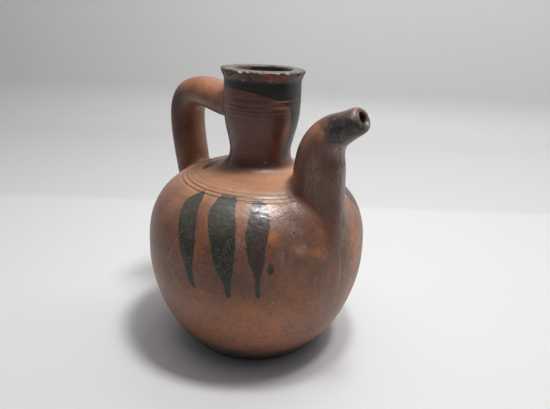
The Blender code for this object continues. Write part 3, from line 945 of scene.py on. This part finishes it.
# Olive high on the runs, partly a painted sheen where they face up.
olive_sheen = part_of(share(plus(up, swing(patchy, 0.03)), *OLIVE_SHEEN_ABOVE), share(up, *OLIVE_SHEEN_BELOW))
glaze = colours(olive_sheen, GLAZE_DARK, GLAZE_OLIVE_SHEEN)
glaze = colours(part_of(speckle, 0.62), glaze, GLAZE_LIGHT)
thin_tone = colours(part_of(speckle, 0.3), GLAZE_THIN, RED_CLAY)
glaze = colours(part_of(kept("thin_glaze"), share(up, *THIN_ABOVE)), glaze, thin_tone)
glaze = colours(part_of(share(up, *TAILS_BELOW), 0.8), glaze, GLAZE_TAIL)
body = colours(part_of(glazed, rest_of(part_of(share(fine, 0.60, 0.74), 0.5))), body, glaze)

# The lip is dark and dusty, and its top is greyer, partly as a painted sheen. Chips show bare red clay and
# cut lines hold dirt.
# Knocks left chalky edges, specks and scratches.
# A scratch is its middle, the way across it, its reach and width in mm, its strength and its colour.
lip = part_of(share(plus(up, swing(fine, 0.007)), *LIP_FROM), rest_of(kept("inner")))
body = colours(lip, body, colours(share(fine, 0.44, 0.58), LIP_CLAY, DARK_CLAY_AND_SHADE))
body = colours(part_of(lip, part_of(share(grain, 0.58, 0.70), 0.20)), body, DUST_AND_SHEEN)
# The rim's flat top is greyer, partly a painted sheen.
body = colours(part_of(share(up, *TOP_OF_RIM), share(fine, 0.34, 0.52)), body, RIM_TOP_GREY_AND_SHEEN)
body = colours(part_of(kept("incised"), 0.85), body, SOOT_AND_SHADE_BLACK)
chalk = share(plus(kept("chalk"), swing(fine, 2.4)), 0.40, 0.80)
body = colours(part_of(part_of(chalk, share(kept("chalk"), 0.05, 0.3)), 0.50), body, FLECK)
worn = share(plus(kept("worn"), swing(fine, 1.2)), 0.38, 0.62)
body = colours(worn, body, colours(share(grain, 0.50, 0.72), BARE_RED, ORANGE_CLAY))
# Tan painted highlight lines along two of the neck's ridges.
body = colours(part_of(kept("ridge_highlight"), 0.8), body, TAN_CLAY_AND_HIGHLIGHT)
body = colours(part_of(dots(150, 0.16, (0, 0, 0)), 0.75), body, SOOT_AND_SHADE_BLACK)
body = colours(part_of(dots(105, 0.12, (5, 2, 7)), 0.32), body, FLECK)
SCRATCHES = (
    ((2, -80.5, 99), (0.90, 0.05, -0.43), 17, 0.18, 0.45, FLECK),
    ((77, -28, 68), (-0.25, -0.1, 0.96), 11, 0.25, 0.7, SOOT_AND_SHADE_BLACK),
    ((40, -72, 74), (0.05, 0.05, 1.0), 22, 0.3, 0.5, SOOT_AND_SHADE_BLACK),
    ((2, -82, 79), (0.1, 0.0, 1.0), 10, 0.3, 0.5, SOOT_AND_SHADE_BLACK),
)
for middle, across, reach, width, strength, tone in SCRATCHES:
    body = colours(part_of(scratch(middle, across, reach, width), strength), body, tone)
tree.links.new(body, coat.inputs["Base Color"])

# The surface is rougher where it is patchy, sooty or glazed, and lumpy and pitted throughout.
# The glassy coat is strongest on the shoulder and the glossy run, and faint where shade is painted or the
# clay is worn.
rough = plus(0.33, plus(part_of(patchy, 0.16), part_of(kept("soot_and_foot_shade"), 0.05)))
tree.links.new(plus(rough, part_of(glazed, 0.08)), coat.inputs["Roughness"])
lumpy = mottle(260, 3, 0.55, stretch=(1, 1, 1.6))
lumps = add("ShaderNodeBump", {"Height": lumpy, "Strength": 1.0, "Distance": LUMP_HEIGHT}).outputs[0]
pits = sums("SUBTRACT", blended(grain, 0.5, fine, 0.5), part_of(share(peppered, 0.56, 0.66), 0.35))
pitting = {"Height": pits, "Strength": 1.0, "Distance": PIT_HEIGHT, "Normal": lumps}
tree.links.new(add("ShaderNodeBump", pitting).outputs[0], coat.inputs["Normal"])
tree.links.new(lumps, coat.inputs["Coat Normal"])
pooled = part_of(share(patchy, 0.34, 0.62), 0.35)
glassy = plus(0.10, part_of(share(up, *GLASSY_ABOVE), pooled))
glassy = plus(glassy, part_of(kept("gloss"), share(blended(fine, 0.6, blotchy, 0.4), 0.38, 0.56)))
glassy = part_of(glassy, rest_of(part_of(at_most(painted_shade, 1.0), 0.8)))
tree.links.new(part_of(glassy, rest_of(part_of(worn, 0.8))), coat.inputs["Coat Weight"])
coat.inputs["Coat Roughness"].default_value = COAT_ROUGHNESS
coat.inputs["Specular IOR Level"].default_value = SHINE
jug.data.materials.clear()
jug.data.materials.append(clay)
jug.data.shade_smooth()

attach(jug, "root")
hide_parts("jug")

# The table is a pale sheet that runs back and curves up into a plain wall, well behind the jug.
# It is all one piece, and its tone is a little darker past the table's far edge.
VIEW_TURN = math.radians(44)
TABLE_SIZE = (2.2, 1.4)
TABLE_BACK = 0.80
WALL_RISE = 1.6
WALL_LEAN = 0.02
WALL_BEND = 0.09
WALL_BEND_STEPS = 16
TABLE_EDGE = 0.285
EDGE_BLUR = 0.012
TABLE_WHITE = (0.72, 0.72, 0.715, 1)
WALL_WHITE = (0.66, 0.66, 0.655, 1)
TABLE_ROUGHNESS = 0.6

bm = bmesh.new()
bmesh.ops.create_grid(bm, x_segments=1, y_segments=1, size=1.0)
bmesh.ops.transform(bm, matrix=Matrix.Diagonal((*TABLE_SIZE, 1, 1)), verts=bm.verts)
bmesh.ops.translate(bm, vec=(0, TABLE_BACK - TABLE_SIZE[1], 0), verts=bm.verts)
back = [edge for edge in bm.edges if all(vert.co.y > TABLE_BACK - 0.01 for vert in edge.verts)]
risen = bmesh.ops.extrude_edge_only(bm, edges=back)["geom"]
wall_top = [part for part in risen if isinstance(part, bmesh.types.BMVert)]
bmesh.ops.translate(bm, vec=(0, WALL_LEAN, WALL_RISE), verts=wall_top)
bmesh.ops.bevel(
    bm,
    geom=back,
    offset=WALL_BEND,
    segments=WALL_BEND_STEPS,
    profile=0.5,
    affect="EDGES",
    material=-1,
)
bmesh.ops.rotate(bm, cent=(0, 0, 0), matrix=Matrix.Rotation(VIEW_TURN, 3, "Z"), verts=bm.verts)
table = placed("table_and_wall", bm)
table.data.shade_smooth()
pale = bpy.data.materials.new("pale_table")
pale.use_nodes = True
# The nodes made from here on belong to the table.
tree = pale.node_tree
paper = tree.nodes["Principled BSDF"]
paper.inputs["Roughness"].default_value = TABLE_ROUGHNESS
on_table = add("ShaderNodeTexCoord").outputs["Object"]
facing = add("ShaderNodeVectorRotate", {"Vector": on_table, "Angle": -VIEW_TURN}, rotation_type="Z_AXIS")
behind = add("ShaderNodeSeparateXYZ", {"Vector": facing.outputs[0]}).outputs[1]
shade = colours(share(behind, TABLE_EDGE - EDGE_BLUR, TABLE_EDGE + EDGE_BLUR), TABLE_WHITE, WALL_WHITE)
tree.links.new(shade, paper.inputs["Base Color"])
table.data.materials.append(pale)

# A lamp high on the right and a small one overhead cast the soft shadows on the table.
# Wide weak lamps fill in from the ceiling, towards the wall, and from both sides.
# Each has its power, its two sizes, its place as the camera sees it (right of, behind and above the jug),
# and what it is aimed at.
ROOM_TONE = (0.93, 0.95, 1, 1)
ROOM_STRENGTH = 0.08
JUG_MIDDLE = (0, 0, 0.08)
LAMPS = (
    ("right_lamp", 12, (0.30, 0.22), (0.55, -0.13, 2.0), JUG_MIDDLE),
    ("overhead_lamp", 2.0, (0.08, 0.08), (0.07, -0.057, 0.71), JUG_MIDDLE),
    ("ceiling", 2.6, (1.5, 0.6), (-0.15, -0.15, 1.2), JUG_MIDDLE),
    ("wall_lamp", 4.4, (1.0, 0.4), (0.42, 0.35, 1.0), (0.32, 0.90, 0.10)),
    ("side_lamp", 1.3, (1.0, 0.5), (1.10, 0.45, 0.30), JUG_MIDDLE),
    ("left_lamp", 0.4, (0.6, 0.5), (-0.90, 0.30, 0.40), JUG_MIDDLE),
)

to_view = Matrix.Rotation(VIEW_TURN, 3, "Z")
for name, power, (wide, deep), spot, aim in LAMPS:
    lamp = bpy.data.lights.new(name, "AREA")
    lamp.energy = power
    lamp.shape = "RECTANGLE"
    lamp.size = wide
    lamp.size_y = deep
    hung = bpy.data.objects.new(name, lamp)
    bpy.context.scene.collection.objects.link(hung)
    hung.location = to_view @ Vector(spot)
    hung.rotation_euler = (to_view @ Vector(aim) - hung.location).to_track_quat("-Z", "Y").to_euler()
world = bpy.data.worlds.new("room")
world.use_nodes = True
world.node_tree.nodes["Background"].inputs["Color"].default_value = ROOM_TONE
world.node_tree.nodes["Background"].inputs["Strength"].default_value = ROOM_STRENGTH
bpy.context.scene.world = world
bpy.context.scene.view_settings.view_transform = "Standard"

# The camera stands close, a little above the rim, between the spout and the jug's left side.
# Its place and turn were solved from the jug's outlines in the photograph.
EYE_AWAY = 0.3644
EYE_Z = 0.2445
EYE_PITCH = math.radians(20.65)
EYE_YAW = math.radians(2.05)
EYE_ROLL = math.radians(2.88)
SENSOR_WIDTH = 36
LENS = 32.73
NEAREST = 0.01

camera = bpy.data.objects.new("camera", bpy.data.cameras.new("camera"))
bpy.context.scene.collection.objects.link(camera)
camera.data.sensor_width = SENSOR_WIDTH
camera.data.lens = LENS
camera.data.clip_start = NEAREST
eye = Matrix.Translation((math.sin(VIEW_TURN) * EYE_AWAY, -math.cos(VIEW_TURN) * EYE_AWAY, EYE_Z))
aimed = Matrix.Rotation(VIEW_TURN - EYE_YAW, 4, "Z") @ Matrix.Rotation(math.pi / 2 - EYE_PITCH, 4, "X")
camera.matrix_world = eye @ aimed @ Matrix.Rotation(EYE_ROLL, 4, "Z")
bpy.context.scene.camera = camera
